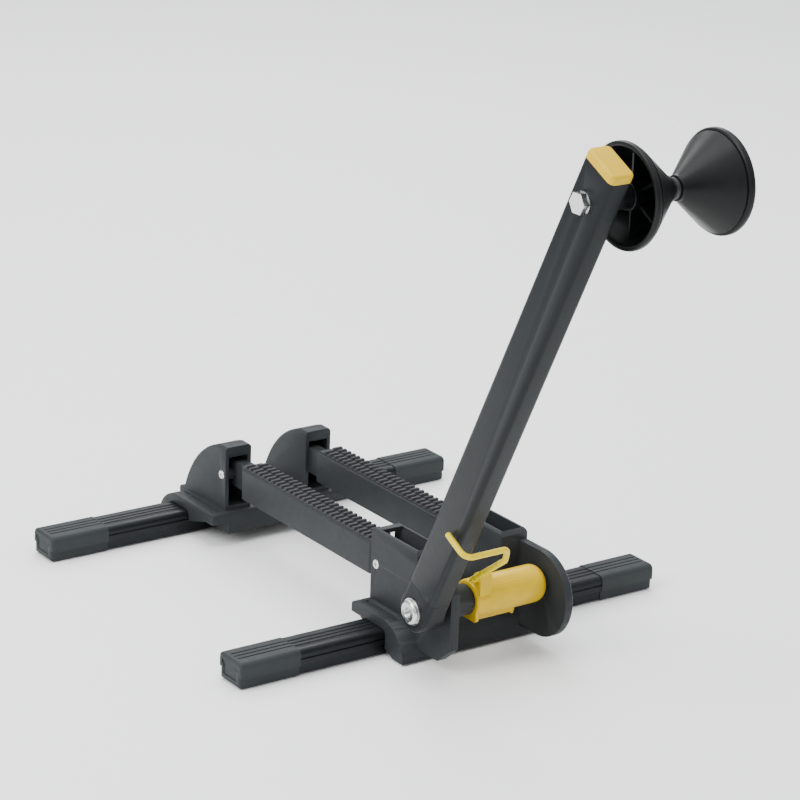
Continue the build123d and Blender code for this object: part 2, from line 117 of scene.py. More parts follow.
# ---- colours ------------------------------------------------------------------
def linear(code, alpha=1.0):
    """An sRGB hex colour as linear red, green, blue and alpha."""
    parts = [int(code[i:i + 2], 16) / 255 for i in (1, 3, 5)]
    return [p / 12.92 if p <= 0.04045 else ((p + 0.055) / 1.055) ** 2.4 for p in parts] + [alpha]


def scaled(colour, factor):
    """The same colour, lighter or darker."""
    return [min(1.0, c * factor) for c in colour[:3]] + [1.0]


# ---- settings a user would change ---------------------------------------------
def length(name, description, millimetres):
    """A length setting, kept in metres."""
    return bpy.props.FloatProperty(name=name, description=description, default=millimetres * MM,
                                   min=0.0, unit="LENGTH", precision=5)


def colour(name, description, code):
    """A colour setting."""
    return bpy.props.FloatVectorProperty(name=name, description=description, default=linear(code),
                                         size=4, min=0.0, max=1.0, subtype="COLOR")


class FloorStandSizes(bpy.types.PropertyGroup):
    """Sizes of the details that are drawn on the frame."""
    edge: length("Moulded edge", "Radius on the edges of the mouldings", 0.7)
    groove: length("Foot groove", "Depth of the grooves along the feet", 0.7)
    groove_pitch: length("Groove pitch", "Distance between the grooves on top of a foot", 4.6)
    foot_cap_edge: length("End cap edge", "Rounding of the outer end of a foot", 2.2)
    tread_pitch: length("Tread pitch", "Distance between the ribs of a tread", 6.0)
    tread_depth: length("Tread depth", "Depth of the gaps between the ribs", 2.2)
    arm_corner: length("Arm corner", "Outside corner radius of the arm tube", 4.0)
    plug: length("Top plug", "Height of the plug above the arm tube", 6.0)
    cone_wall: length("Cone wall", "Thickness of the cones", 3.2)
    wire: length("Wire radius", "Radius of the bent wire", 2.1)
    cone_webs: bpy.props.IntProperty(name="Cone webs", description="Stiffening webs in each hollow cone",
                                     default=6, min=3, max=12)


class FloorStandColours(bpy.types.PropertyGroup):
    """Colours of the finishes."""
    housing: colour("Housing", "Moulded housings and rails", "#2B2E30")
    foot: colour("Feet", "Extruded feet", "#1E2123")
    cap: colour("End caps", "Moulded ends of the feet", "#2D3132")
    arm: colour("Arm", "Coated arm tube", "#1B1E20")
    cone: colour("Cones", "Tyre cones", "#0C0E0F")
    tread: colour("Treads", "Rubber treads and pads", "#0A0B0C")
    pedal: colour("Pedal", "Pedal and top plug", "#D2AC00")
    wire: colour("Wire", "Coated wire bail", "#DCC200")
    floor: colour("Floor", "Studio floor", "#FBFBFA")


# ---- modelling by hand --------------------------------------------------------
def deselect():
    """Leaves edit mode and deselects everything."""
    if bpy.context.mode != "OBJECT":
        bpy.ops.object.mode_set(mode="OBJECT")
    bpy.ops.object.select_all(action="DESELECT")


def named(name):
    """Names the piece that was just added, and puts its origin at the frame's origin."""
    piece = bpy.context.active_object
    bpy.ops.object.transform_apply(location=True, rotation=True, scale=True)
    piece.name = name
    piece.data.name = name
    return piece


def hold(piece):
    """Selects one piece alone and makes it active."""
    deselect()
    piece.select_set(True)
    bpy.context.view_layer.objects.active = piece


def slab(name, low, high):
    """A box between two corners."""
    deselect()
    centre = [(a + b) / 2 * MM for a, b in zip(low, high)]
    bpy.ops.mesh.primitive_cube_add(size=1.0, location=centre,
                                    scale=[(b - a) * MM for a, b in zip(low, high)])
    return named(name)


def bar(name, x0, x1, y, z, radius, sides=64):
    """A round bar along X."""
    deselect()
    bpy.ops.mesh.primitive_cylinder_add(vertices=sides, radius=radius * MM, depth=(x1 - x0) * MM,
                                        location=((x0 + x1) / 2 * MM, y * MM, z * MM),
                                        rotation=(0.0, math.pi / 2, 0.0))
    return named(name)


def pick(kind, test):
    """Selects the faces, edges or vertices of the piece in edit mode that pass a test."""
    bpy.ops.mesh.select_mode(type=kind)
    bpy.ops.mesh.select_all(action="DESELECT")
    mesh = bmesh.from_edit_mesh(bpy.context.edit_object.data)
    sorts = {"FACE": mesh.faces, "EDGE": mesh.edges, "VERT": mesh.verts}
    for part in sorts[kind]:
        if test(part):
            part.select_set(True)
    mesh.select_flush_mode()
    bmesh.update_edit_mesh(bpy.context.edit_object.data)


def mid(edge):
    """Middle of an edge, in millimetres."""
    return (edge.verts[0].co + edge.verts[1].co) / 2 / MM


def run(edge):
    """Direction of an edge."""
    return (edge.verts[1].co - edge.verts[0].co).normalized()


def edit(piece):
    """Goes into edit mode on one piece."""
    hold(piece)
    bpy.ops.object.mode_set(mode="EDIT")


def round_upright(piece, radius, segments=8):
    """Goes into edit mode and rounds the upright edges."""
    edit(piece)
    pick("EDGE", lambda e: abs(run(e).z) > 0.9)
    bpy.ops.mesh.bevel(offset=radius, segments=segments, affect="EDGES")


def push(vector):
    """Extrudes what is selected along a vector in millimetres."""
    bpy.ops.mesh.extrude_region_move(TRANSFORM_OT_translate={"value": Vector(vector) * MM})


def outline(name, points):
    """Draws a chain of vertices, from one point to the next, as a new piece in edit mode."""
    deselect()
    bpy.ops.mesh.primitive_plane_add(size=MM, location=Vector(points[0]) * MM)
    piece = named(name)
    bpy.ops.object.mode_set(mode="EDIT")
    bpy.ops.mesh.select_mode(type="VERT")
    bpy.ops.mesh.select_all(action="SELECT")
    bpy.ops.mesh.merge(type="CENTER")
    for before, after in zip(points, points[1:]):
        bpy.ops.mesh.extrude_region_move(
            TRANSFORM_OT_translate={"value": (Vector(after) - Vector(before)) * MM})
    return piece


def drawn(name, points, pull):
    """A closed outline, filled and pulled out along a vector."""
    piece = outline(name, points)
    bpy.ops.mesh.select_all(action="SELECT")
    bpy.ops.mesh.edge_face_add()
    push(pull)
    deselect()
    return piece


def turned(name, points, y, z, steps=96):
    """A closed outline of X and radius, spun about an axis along X."""
    piece = outline(name, [(x, y, z + r) for x, r in points])
    bpy.ops.mesh.select_all(action="SELECT")
    bpy.ops.mesh.edge_face_add()
    bpy.ops.mesh.delete(type="ONLY_FACE")
    bpy.ops.mesh.select_all(action="SELECT")
    bpy.ops.mesh.spin(steps=steps, angle=2 * math.pi, center=(0, y * MM, z * MM), axis=(1, 0, 0))
    deselect()
    return piece


def arc(cy, cz, radius, start, end, steps):
    """Points of an arc in Y and Z, in degrees from +Y towards +Z."""
    angles = [math.radians(start + (end - start) * i / steps) for i in range(steps + 1)]
    return [(cy + radius * math.cos(a), cz + radius * math.sin(a)) for a in angles]


def apply(piece, kind, **settings):
    """Adds one modifier with its settings, and applies it."""
    hold(piece)
    modifier = piece.modifiers.new(kind.title(), kind)
    for key, value in settings.items():
        setattr(modifier, key, value)
    bpy.ops.object.modifier_apply(modifier=modifier.name)


def soften(piece, width, segments=2, angle=32.0):
    """Rounds every edge sharper than an angle."""
    apply(piece, "BEVEL", width=width, segments=segments, limit_method="ANGLE",
          angle_limit=math.radians(angle), use_clamp_overlap=True, harden_normals=False)


def tidy(piece):
    """Merges doubles and turns every face outwards."""
    edit(piece)
    bpy.ops.mesh.select_mode(type="VERT")
    bpy.ops.mesh.select_all(action="SELECT")
    bpy.ops.mesh.remove_doubles(threshold=0.01 * MM)
    bpy.ops.mesh.normals_make_consistent(inside=False)
    deselect()


def merge(piece, other, operation="UNION"):
    """Joins another solid to a piece, or cuts it away, and removes it."""
    tidy(piece)
    tidy(other)
    apply(piece, "BOOLEAN", object=other, operation=operation, solver="EXACT")
    bpy.data.objects.remove(other, do_unlink=True)


def cut(piece, other):
    """Cuts another solid out of a piece."""
    merge(piece, other, "DIFFERENCE")


def copied(piece, name, flip=False, move=(0, 0, 0)):
    """A copy with its own mesh, moved, and mirrored across the slot if asked."""
    hold(piece)
    bpy.ops.object.duplicate()
    twin = bpy.context.active_object
    twin.location = Vector(move) * MM
    if flip:
        twin.scale.x = -1.0
    named(name)
    if flip:
        tidy(twin)
    return twin


def from_frame(node, name):
    """A copy of a CAD node as clean faces, ready for its edges to be rounded."""
    hold(frame["nodes"][node])
    bpy.ops.object.duplicate()
    piece = bpy.context.active_object
    for key in list(piece.keys()):
        del piece[key]
    piece.parent = None
    piece.name = name
    piece.data.name = name
    edit(piece)
    bpy.ops.mesh.select_all(action="SELECT")
    bpy.ops.mesh.remove_doubles(threshold=0.002 * MM)
    bpy.ops.mesh.dissolve_limited(angle_limit=math.radians(0.6))
    deselect()
    return piece


def tilt(piece):
    """Leans a piece drawn upright on the main pivot back into the arm's place."""
    piece.data.transform(Matrix.Translation(Vector((0, PIVOT.y, PIVOT.z)) * MM)
                         @ Matrix.Rotation(LEAN, 4, "X"))


def place(piece, body, slot, material, *nodes):
    """Finishes a piece: shading, material, the body it rides on, and hides its CAD nodes. The slot argument
    is not used.
    """
    tidy(piece)
    hold(piece)
    bpy.ops.object.shade_smooth_by_angle(angle=SMOOTH)
    piece.data.materials.clear()
    piece.data.materials.append(material)
    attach(piece, body)
    if nodes:
        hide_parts(*nodes)


def dress(node, material):
    """Gives a CAD node that stays its finish."""
    for holder in frame["nodes"][node].material_slots:
        holder.material = material


# ---- materials ----------------------------------------------------------------
def add(tree, kind, settings=None, links=None):
    """Adds one node, sets its properties and sockets, and links its inputs."""
    made = tree.nodes.new(kind)
    for key, value in (settings or {}).items():
        if isinstance(key, int) or key in made.inputs:
            made.inputs[key].default_value = value
        else:
            setattr(made, key, value)
    for key, source in (links or {}).items():
        tree.links.new(source, made.inputs[key])
    return made


def finish(name, **settings):
    """A new material and its Principled shader with constant settings."""
    material = bpy.data.materials.get(name)
    if material:
        return material, None, None
    material = bpy.data.materials.new(name)
    material.use_nodes = True
    tree = material.node_tree
    shader = tree.nodes["Principled BSDF"]
    for key, value in settings.items():
        shader.inputs[key.replace("_", " ")].default_value = value
    return material, tree, shader


def surface(name, base, patterns, shade, relief, rough=None, edge_wear_and_highlight=None, **settings):
    """A material from named noise patterns, each with its size in mm, its detail, its stretch and,
    where it isn't the usual 0.5, its roughness.

    shade is the pattern that varies the colour, the two factors it varies between, and whether
    it does so starkly. rough is a pattern and the roughness it varies between. relief is pairs
    of a pattern and its height in mm, coarse first. The last argument paints the edges paler:
    it gives their radius in mm, the turn at which they start and are full, their brightness, and
    the pattern that breaks them up. Broken up, the paler edges are rubbed wear; left whole, they
    are a painted highlight along every rounded edge.
    """
    material, tree, shader = finish(name, **settings)
    if tree is None:
        return material
    at = add(tree, "ShaderNodeTexCoord").outputs["Object"]
    waves = {}
    for key, (size, detail, stretch, *harshness) in patterns.items():
        where = at
        if stretch:
            where = add(tree, "ShaderNodeMapping", {"Scale": stretch}, {"Vector": at}).outputs["Vector"]
        settings = {"Scale": 1.0 / (size * MM), "Detail": detail,
                    "Roughness": harshness[0] if harshness else 0.5}
        waves[key] = add(tree, "ShaderNodeTexNoise", settings, {"Vector": where}).outputs["Fac"]
    key, low, high, stark = shade
    amount = waves[key]
    if stark:
        amount = add(tree, "ShaderNodeMapRange", {**NOISE_SPAN, "To Min": 0.0, "To Max": 1.0},
                     {"Value": amount}).outputs["Result"]
    tint = add(tree, "ShaderNodeMix", {"data_type": "RGBA", 6: scaled(base, low), 7: scaled(base, high)},
               {0: amount}).outputs[2]
    # paler rounded edges: rubbed wear where a pattern breaks them up, otherwise a painted highlight along
    # every edge
    if edge_wear_and_highlight:
        radius, start, full, paler, patches = edge_wear_and_highlight
        rounded = add(tree, "ShaderNodeBevel", {"Radius": radius * MM, "samples": 6})
        flat = add(tree, "ShaderNodeNewGeometry")
        turn = add(tree, "ShaderNodeVectorMath", {"operation": "DOT_PRODUCT"},
                   {0: rounded.outputs["Normal"], 1: flat.outputs["Normal"]})
        rub_and_edge_highlight = add(tree, "ShaderNodeMapRange",
                  {"From Min": 1.0 - start, "From Max": 1.0 - full, "To Min": 0.0, "To Max": 1.0},
                  {"Value": turn.outputs["Value"]}).outputs["Result"]
        if patches:
            broken = add(tree, "ShaderNodeMapRange", {**NOISE_SPAN, "To Min": 0.05, "To Max": 0.5},
                         {"Value": waves[patches]}).outputs["Result"]
            rub_and_edge_highlight = add(tree, "ShaderNodeMath", {"operation": "MULTIPLY"}, {0: rub_and_edge_highlight, 1: broken}).outputs["Value"]
        tint = add(tree, "ShaderNodeMix", {"data_type": "RGBA", 7: scaled(base, paler)},
                   {0: rub_and_edge_highlight, 6: tint}).outputs[2]
    tree.links.new(tint, shader.inputs["Base Color"])
    if rough:
        key, low, high = rough
        gloss = add(tree, "ShaderNodeMapRange", {**NOISE_SPAN, "To Min": low, "To Max": high},
                    {"Value": waves[key]}).outputs["Result"]
        tree.links.new(gloss, shader.inputs["Roughness"])
    below = {}
    for key, height in relief:
        layer = add(tree, "ShaderNodeBump", {"Strength": 1.0, "Distance": height * MM},
                    {"Height": waves[key], **below})
        below = {"Normal": layer.outputs["Normal"]}
    tree.links.new(below["Normal"], shader.inputs["Normal"])
    return material


def moulded_nylon(name, base, gloss=0.5, grain_mm=1.5):
    """Glass-filled nylon, moulded in a spark-eroded tool: an even satin black-grey with a fine
    leathery grain, faintly paler where the edges have been rubbed."""
    # the real grain is 0.3 mm, drawn coarser so that it shows
    return surface(name, base, {"grain": (grain_mm, 3.0, None), "cloud": (38.0, 2.0, None),
                                "scuff": (6.0, 4.0, None)},
                   ("cloud", 0.82, 1.16, False), [("cloud", 0.35), ("grain", 0.035)],
                   ("scuff", gloss - 0.03, gloss + 0.04), (1.1, 0.02, 0.25, 2.1, "scuff"),
                   Roughness=gloss, IOR=1.53, Specular_IOR_Level=0.16)


def anodised_extrusion(name, base):
    """Dark anodised aluminium extrusion: a soft metallic sheen with fine draw lines along the foot."""
    # real draw lines are 0.1 mm apart, drawn coarser so that they show
    return surface(name, base, {"lines": (0.9, 3.0, (0.02, 1.0, 1.0), 0.6), "cloud": (45.0, 2.0, None)},
                   ("lines", 0.8, 1.25, False), [("lines", 0.03)], ("cloud", 0.34, 0.5),
                   Metallic=0.75, Roughness=0.42)


def powder_coat(name, base):
    """Powder-coated steel tube: satin, with a slight orange peel, a cloudy gloss and a painted highlight that
    makes every rounded corner paler.
    """
    # the edge tuple (1.2, 0.03, 0.35, 1.7, None) paints a highlight along the rounded corners, not broken up
    # by any pattern
    return surface(name, base, {"peel": (2.2, 1.0, None), "cloud": (60.0, 2.0, None),
                                "haze": (7.0, 4.0, None)},
                   ("cloud", 0.92, 1.08, False), [("peel", 0.05)], ("haze", 0.37, 0.42),
                   (1.2, 0.03, 0.35, 1.7, None), Roughness=0.4, IOR=1.5, Specular_IOR_Level=0.14)


def moulded_polypropylene(name, base):
    """Moulded polypropylene: smoother and glossier than the housings, with faint turned rings."""
    return surface(name, base, {"rings": (0.8, 2.0, (1.0, 0.02, 0.02)), "cloud": (22.0, 3.0, None)},
                   ("cloud", 0.8, 1.2, False), [("rings", 0.02)], ("cloud", 0.3, 0.44),
                   Roughness=0.36, IOR=1.49, Specular_IOR_Level=0.22)


def vulcanised_rubber(name, base):
    """Vulcanised rubber: dull, faintly dusty, with a fine dry grain."""
    return surface(name, base, {"grain": (0.9, 4.0, None), "dust": (11.0, 4.0, None)},
                   ("dust", 0.85, 1.6, True), [("grain", 0.05)], ("grain", 0.6, 0.82),
                   Roughness=0.7, IOR=1.52, Specular_IOR_Level=0.15)


def gloss_abs(name, base, gloss=0.34):
    """Coloured ABS moulding: bright and smooth, with faint sink marks."""
    return surface(name, base, {"sink": (9.0, 1.0, None), "grain": (1.1, 2.0, None)},
                   ("sink", 0.86, 1.08, False), [("sink", 0.12), ("grain", 0.015)],
                   ("grain", gloss - 0.06, gloss + 0.08),
                   Roughness=gloss, IOR=1.54, Specular_IOR_Level=0.25)


def dipped_vinyl(name, base):
    """Steel wire dipped in vinyl: a thick glossy skin with slow ripples."""
    return surface(name, base, {"ripple": (5.0, 1.5, None)}, ("ripple", 0.88, 1.06, False),
                   [("ripple", 0.1)], ("ripple", 0.22, 0.36),
                   Roughness=0.3, IOR=1.53, Specular_IOR_Level=0.3)


def plated_steel(name, base, low=0.2, high=0.34):
    """Zinc-plated or blackened steel: metallic, with turning marks and a slightly cloudy bloom."""
    return surface(name, base, {"marks": (0.7, 3.0, (1.0, 0.2, 0.2)), "bloom": (4.0, 3.0, None)},
                   ("bloom", 0.85, 1.1, False), [("marks", 0.015)], ("bloom", low, high),
                   Metallic=1.0, Roughness=(low + high) / 2)


def turned_nylon(name, base):
    """Turned nylon: waxy and softly translucent."""
    return surface(name, base, {"wax": (3.0, 2.0, None)}, ("wax", 0.88, 1.05, False), [("wax", 0.02)],
                   Roughness=0.45, IOR=1.53, Subsurface_Weight=0.2, Subsurface_Scale=0.002)


def housing_finish():
    """The housings' and rails' nylon."""
    return moulded_nylon("glass_filled_nylon", bpy.context.scene.floor_stand_colours.housing)


def arm_finish():
    """The arm's coating."""
    return powder_coat("powder_coated_steel", bpy.context.scene.floor_stand_colours.arm)


def zinc():
    """Bright fasteners."""
    return plated_steel("zinc_plated_steel", linear("#D8D9D8"))


def black_oxide():
    """Dark fasteners."""
    return plated_steel("black_oxide_steel", linear("#4B4C4E"), 0.35, 0.5)


# ---- feet ---------------------------------------------------------------------
def foot_section(y, grow, groove, pitch):
    """Outline of a foot in Y and Z: a grooved top on a narrower waist."""
    low, high = box_mm("rear_foot_bar")
    half, waist = (high.y - low.y) / 2 + grow, FOOT_WAIST + grow
    bottom, top, step, corner = low.z - grow, high.z + grow, FOOT_STEP - grow, FOOT_CORNER
    side = [(half, step)]
    if groove:
        side += [(half, 12.5), (half - 0.8, 12.8), (half - 0.8, 13.4), (half, 13.7)]
    shoulder = arc(half - corner, top - corner, corner, 0.0, 90.0, 6)
    ridge = []
    for i in (1, 0, -1):
        at = i * pitch
        if groove:
            ridge += [(at + 0.9, top), (at + 0.35, top - groove), (at - 0.35, top - groove), (at - 0.9, top)]
    right = [(waist, bottom), (waist, step)] + side + shoulder
    left = [(-a, b) for a, b in reversed(right)]
    return [(y + a, b) for a, b in right + ridge + left]


class FLOORSTAND_OT_feet(bpy.types.Operator):
    """Draws the grooved section of a foot, pulls it to length and copies it for the other foot"""
    bl_idname = "floor_stand.feet"
    bl_label = "Foot extrusions"

    def execute(self, context):
        sizes, colours = context.scene.floor_stand_sizes, context.scene.floor_stand_colours
        low, high = box_mm("rear_foot_bar")
        rear_y, front_y = middle("rear_foot_bar").y, middle("front_foot_bar").y
        section = foot_section(rear_y, 0.0, sizes.groove / MM, sizes.groove_pitch / MM)
        rear = drawn("rear_foot_extrusion", [(low.x, a, b) for a, b in section], (high.x - low.x, 0, 0))
        tidy(rear)
        soften(rear, 0.25 * MM, 1, 25.0)
        front = copied(rear, "front_foot_extrusion", move=(0, front_y - rear_y, 0))
        metal = anodised_extrusion("anodised_aluminium", colours.foot)
        place(rear, "stand", "foot_paint", metal, "rear_foot_bar")
        place(front, "stand", "foot_paint", metal, "front_foot_bar")
        return {"FINISHED"}


class FLOORSTAND_OT_end_caps(bpy.types.Operator):
    """Models one moulded foot end with its recessed end panel and pad pocket, and copies it to the others"""
    bl_idname = "floor_stand.end_caps"
    bl_label = "Foot end caps"

    def execute(self, context):
        sizes, colours = context.scene.floor_stand_sizes, context.scene.floor_stand_colours
        low, high = box_mm("rear_left_end_cap")
        y = (low.y + high.y) / 2
        section = foot_section(y, CAP_OVER_FOOT, 0.0, 0.0)
        cap = drawn("rear_left_foot_cap", [(high.x, a, b) for a, b in section], (low.x - high.x, 0, 0))
        tidy(cap)
        edit(cap)
        pick("FACE", lambda f: f.normal.x < -0.9)
        bpy.ops.mesh.bevel(offset=sizes.foot_cap_edge, segments=4, affect="EDGES")
        pick("FACE", lambda f: f.normal.x < -0.99 and f.calc_center_median().x / MM < low.x + 0.2)
        bpy.ops.mesh.inset(thickness=2.0 * MM)
        push((0.7, 0, 0))
        deselect()
        collar = drawn("collar", [(high.x - 3.0, a, b) for a, b in section], (3.0, 0, 0))
        merge(cap, collar)
        pad_low, pad_high = box_mm("rear_left_floor_pad")
        boss = slab("boss", (pad_low.x - 2.0, pad_low.y - 1.5, 1.0),
                    (pad_high.x + 2.0, pad_high.y + 1.5, 3.0))
        merge(cap, boss)
        pocket = slab("pocket", (pad_low.x, pad_low.y, -1.0), (pad_high.x, pad_high.y, 2.5))
        cut(cap, pocket)
        for i in (-1, 0, 1):
            at = y + i * sizes.groove_pitch / MM
            cut(cap, slab("groove", (low.x + 3.5, at - 0.6, high.z - sizes.groove / MM),
                          (high.x + 1.0, at + 0.6, high.z + 1.0)))
        soften(cap, 0.35 * MM, 2, 40.0)
        plastic = moulded_nylon("moulded_end_cap", colours.cap, 0.55)
        step = middle("front_left_end_cap").y - y
        for row, shift in (("rear", 0.0), ("front", step)):
            for side, flip in (("left", False), ("right", True)):
                if (row, side) != ("rear", "left"):
                    twin = copied(cap, f"{row}_{side}_foot_cap", flip, (0, shift, 0))
                    place(twin, "stand", "cap_plastic", plastic, f"{row}_{side}_end_cap")
        place(cap, "stand", "cap_plastic", plastic, "rear_left_end_cap")
        return {"FINISHED"}


class FLOORSTAND_OT_floor_pads(bpy.types.Operator):
    """Models one rubber floor pad with grooves underneath, and copies it to all four feet"""
    bl_idname = "floor_stand.floor_pads"
    bl_label = "Floor pads"

    def execute(self, context):
        rubber = vulcanised_rubber("pad_rubber", scaled(context.scene.floor_stand_colours.tread, 1.6))
        low, high = box_mm("rear_left_floor_pad")
        pad = slab("rear_left_foot_pad", low, high)
        round_upright(pad, 2.0 * MM, 4)
        deselect()
        for i in (-1, 0, 1):
            x = (low.x + high.x) / 2 + i * 5.0
            cut(pad, slab("groove", (x - 0.8, low.y - 1.0, -1.0), (x + 0.8, high.y + 1.0, 0.6)))
        soften(pad, 0.2 * MM, 1, 40.0)
        x_step = middle("rear_right_floor_pad").x - middle("rear_left_floor_pad").x
        y_step = middle("front_left_floor_pad").y - middle("rear_left_floor_pad").y
        for row, dy in (("rear", 0.0), ("front", y_step)):
            for side, dx in (("left", 0.0), ("right", x_step)):
                if (row, side) != ("rear", "left"):
                    twin = copied(pad, f"{row}_{side}_foot_pad", False, (dx, dy, 0))
                    place(twin, "stand", "pad_rubber", rubber, f"{row}_{side}_floor_pad")
        place(pad, "stand", "pad_rubber", rubber, "rear_left_floor_pad")
        return {"FINISHED"}


# ---- rails --------------------------------------------------------------------
class FLOORSTAND_OT_rails(bpy.types.Operator):
    """Rounds the edges of the two rail channels"""
    bl_idname = "floor_stand.rails"
    bl_label = "Rail channels"

    def execute(self, context):
        plastic = housing_finish()
        for side in ("left", "right"):
            rail = from_frame(f"{side}_rail", f"{side}_rail_channel")
            soften(rail, context.scene.floor_stand_sizes.edge, 3)
            place(rail, "stand", "housing_plastic", plastic, f"{side}_rail")
        return {"FINISHED"}


class FLOORSTAND_OT_treads(bpy.types.Operator):
    """Models a tread as a strip with two staggered rows of raised ribs, and mirrors it to the other rail"""
    bl_idname = "floor_stand.treads"
    bl_label = "Rail treads"

    def execute(self, context):
        sizes, colours = context.scene.floor_stand_sizes, context.scene.floor_stand_colours
        low, high = box_mm("left_rail_tread")
        depth, pitch = sizes.tread_depth / MM, sizes.tread_pitch / MM
        tread = slab("left_tread_strip", low, (high.x, high.y, high.z - depth))
        rows = int((high.y - low.y - 4.0) / pitch)
        first = (low.y + high.y) / 2 - pitch * (rows - 1) / 2
        mid_x = (low.x + high.x) / 2
        ribs = []
        for x0, x1, shift in ((low.x, mid_x - 0.9, pitch / 4), (mid_x + 0.9, high.x, -pitch / 4)):
            y = first + shift
            rib = slab("rib", (x0, y - 1.3, high.z - depth - 0.2), (x1, y + 1.3, high.z))
            edit(rib)
            pick("EDGE", lambda e: mid(e).z > high.z - 0.1)
            bpy.ops.mesh.bevel(offset=0.45 * MM, segments=2, affect="EDGES")
            deselect()
            apply(rib, "ARRAY", count=rows, use_relative_offset=False, use_constant_offset=True,
                  constant_offset_displace=(0, pitch * MM, 0))
            ribs.append(rib)
        deselect()
        for piece in ribs + [tread]:
            piece.select_set(True)
        bpy.context.view_layer.objects.active = tread
        bpy.ops.object.join()
        rubber = vulcanised_rubber("tread_rubber", colours.tread)
        right = copied(tread, "right_tread_strip", True)
        place(right, "stand", "tread_rubber", rubber, "right_rail_tread")
        place(tread, "stand", "tread_rubber", rubber, "left_rail_tread")
        return {"FINISHED"}


# ---- housings -----------------------------------------------------------------
class FLOORSTAND_OT_housings(bpy.types.Operator):
    """Rounds the moulded edges of the front and rear housings"""
    bl_idname = "floor_stand.housings"
    bl_label = "Front and rear housings"

    def execute(self, context):
        plastic = housing_finish()
        for end in ("front", "rear"):
            housing = from_frame(f"{end}_block", f"{end}_housing")
            soften(housing, context.scene.floor_stand_sizes.edge, 3)
            place(housing, "stand", "housing_plastic", plastic, f"{end}_block")
        return {"FINISHED"}


def pan_head(name, inner, outer, y, z, radius):
    """A pan-head screw with a cross recess, its head between two X values."""
    away = 1.0 if outer > inner else -1.0
    head = bar(name, min(inner, outer), max(inner, outer), y, z, radius, 32)
    edit(head)
    pick("FACE", lambda f: f.normal.x * away > 0.9)
    bpy.ops.mesh.bevel(offset=0.5 * abs(outer - inner) * MM, segments=4, affect="EDGES")
    deselect()
    for long, wide in ((radius * 0.5, radius * 0.14), (radius * 0.14, radius * 0.5)):
        xs = sorted((outer + away, outer - away * 0.7))
        cut(head, slab("slot", (xs[0], y - long, z - wide), (xs[1], y + long, z + wide)))
    return head


class FLOORSTAND_OT_rail_screws(bpy.types.Operator):
    """Models the four pan-head screws in the cheeks of the housings"""
    bl_idname = "floor_stand.rail_screws"
    bl_label = "Rail screws"

    def execute(self, context):
        low, high = box_mm("rail_screws")
        z, radius = (low.z + high.z) / 2, (high.z - low.z) / 2
        rows = (low.y + radius, high.y - radius)
        heads = []
        for side, face in ((1, high.x), (-1, low.x)):
            for y in rows:
                head = pan_head("screw", face - side * 1.5, face, y, z, radius)
                shank = bar("shank", *sorted((side * 29.0, face - side * 1.2)), y, z, 2.0, 24)
                merge(head, shank)
                heads.append(head)
        deselect()
        for head in heads:
            head.select_set(True)
        bpy.context.view_layer.objects.active = heads[0]
        bpy.ops.object.join()
        heads[0].name = heads[0].data.name = "rail_pan_screws"
        place(heads[0], "stand", "bright_steel", zinc(), "rail_screws")
        return {"FINISHED"}


class FLOORSTAND_OT_main_pivot(bpy.types.Operator):
    """Models the main bolt's round socket head and the chamfered lock nut, and gives the washer its finish"""
    bl_idname = "floor_stand.main_pivot"
    bl_label = "Main pivot bolt"

    def execute(self, context):
        low, high = box_mm("pivot_bolt")
        y, z = PIVOT.y, PIVOT.z
        seat = box_mm("pivot_washer")[0].x
        radius = (high.z - low.z) / 2
        dome = [(seat, 4.9), (seat, radius - 0.4), (seat - 0.4, radius), (seat - 0.9, radius)]
        dome += [(seat - 0.9 - 2.4 * math.sin(a), radius - 2.4 + 2.4 * math.cos(a)) for a in
                 [math.radians(15 * i) for i in range(1, 7)]]
        dome += [(low.x, 3.6), (low.x + 0.4, 3.2), (low.x + 2.4, 3.2), (low.x + 2.4, 0.02),
                 (high.x - 0.6, 0.02), (high.x - 0.6, 4.4), (high.x - 1.2, 4.9)]
        bolt = turned("main_pivot_bolt", dome, y, z, 64)
        place(bolt, "stand", "bright_steel", zinc(), "pivot_bolt")
        nut_low, nut_high = box_mm("pivot_nut")
        nut = bar("main_lock_nut", nut_low.x, nut_high.x - 1.5, y, z, 16.0 / math.sqrt(3), 6)
        crown = bar("crown", nut_high.x - 1.6, nut_high.x, y, z, 7.0, 48)
        merge(nut, crown)
        cut(nut, bar("bore", nut_low.x - 1, nut_high.x + 1, y, z, 4.95, 48))
        soften(nut, 0.6 * MM, 2, 30.0)
        place(nut, "stand", "bright_steel", zinc(), "pivot_nut")
        dress("pivot_washer", zinc())
        return {"FINISHED"}


